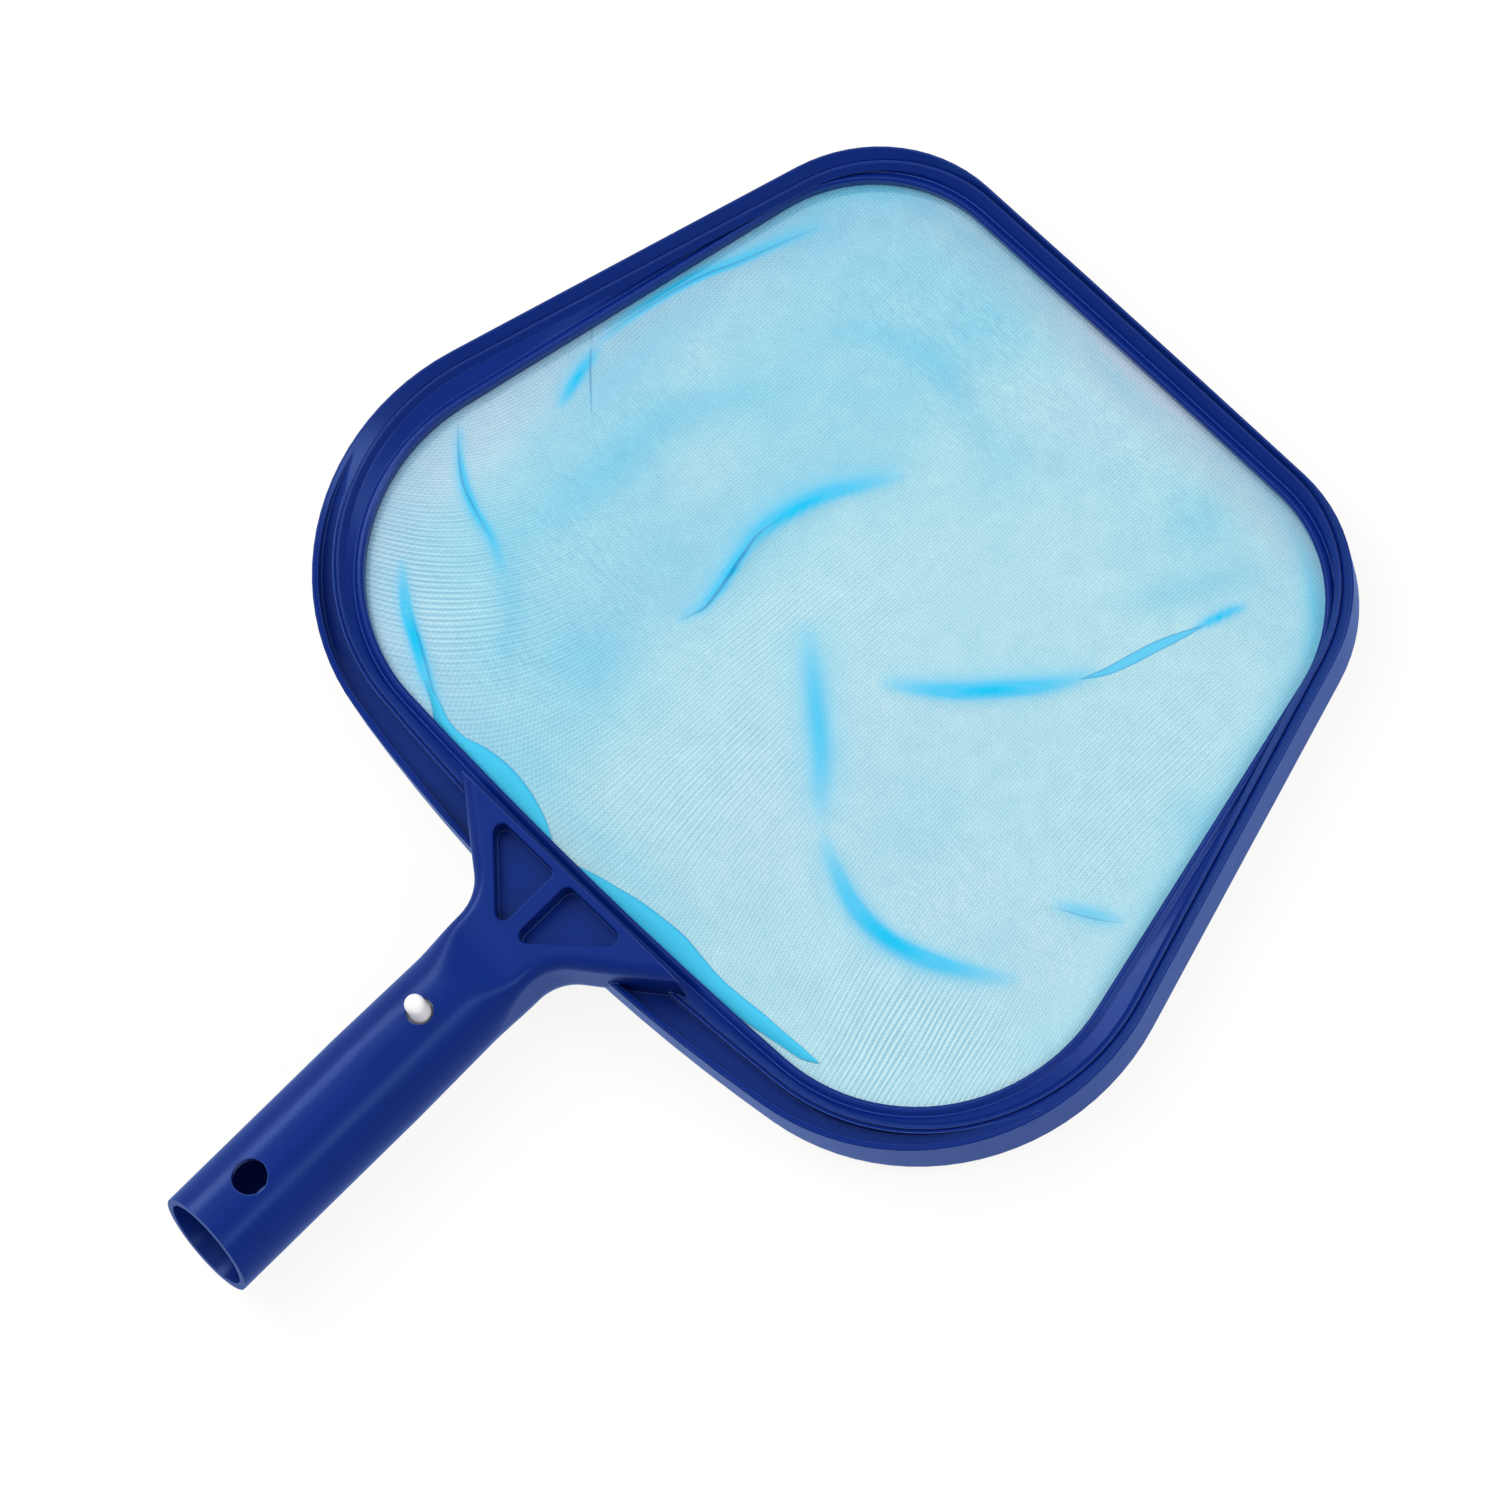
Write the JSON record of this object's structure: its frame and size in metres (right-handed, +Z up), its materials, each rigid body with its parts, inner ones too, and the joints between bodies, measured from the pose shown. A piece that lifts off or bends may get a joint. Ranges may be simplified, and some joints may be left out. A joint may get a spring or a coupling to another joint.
{
  "type": "pool leaf skimmer net",
  "caption": "Flat leaf skimmer for a pool: trapezoid moulded hoop with a snap ring holding a fine net, and a hollow shank with a sprung button clip for a pole.",
  "frame": {"origin": "centre of the shank's mouth, on the shank's axis", "axes": "+X along the shank toward the net, +Z up out of the open face of the hoop, +Y across"},
  "size_m": [0.3402, 0.2656, 0.046],
  "materials": {
    "blue_plastic": "smooth moulded polypropylene, soft gloss",
    "net": "fine woven nylon, pale blue, lets light through",
    "white_plastic": "satin moulded acetal"
  },
  "bodies": {
    "head": {"frame_moulding": "blue_plastic", "snap_ring": "blue_plastic", "net_mesh": "net", "clip_spring": "white_plastic"},
    "upper_clip_button": {"upper_button": "white_plastic"},
    "lower_clip_button": {"lower_button": "white_plastic"}
  },
  "joints": [
    {"name": "upper_button_press", "type": "slide", "parent": "head", "child": "upper_clip_button", "axis": [0, 0, -1], "range_m": [0, 0.0083], "stiffness_N_per_m": 1200, "springref_m": -0.002, "deforming": ["clip_spring"]},
    {"name": "lower_button_press", "type": "slide", "parent": "head", "child": "lower_clip_button", "axis": [0, 0, 1], "range_m": [0, 0.0083], "stiffness_N_per_m": 1200, "springref_m": -0.002, "deforming": ["clip_spring"]}
  ]
}
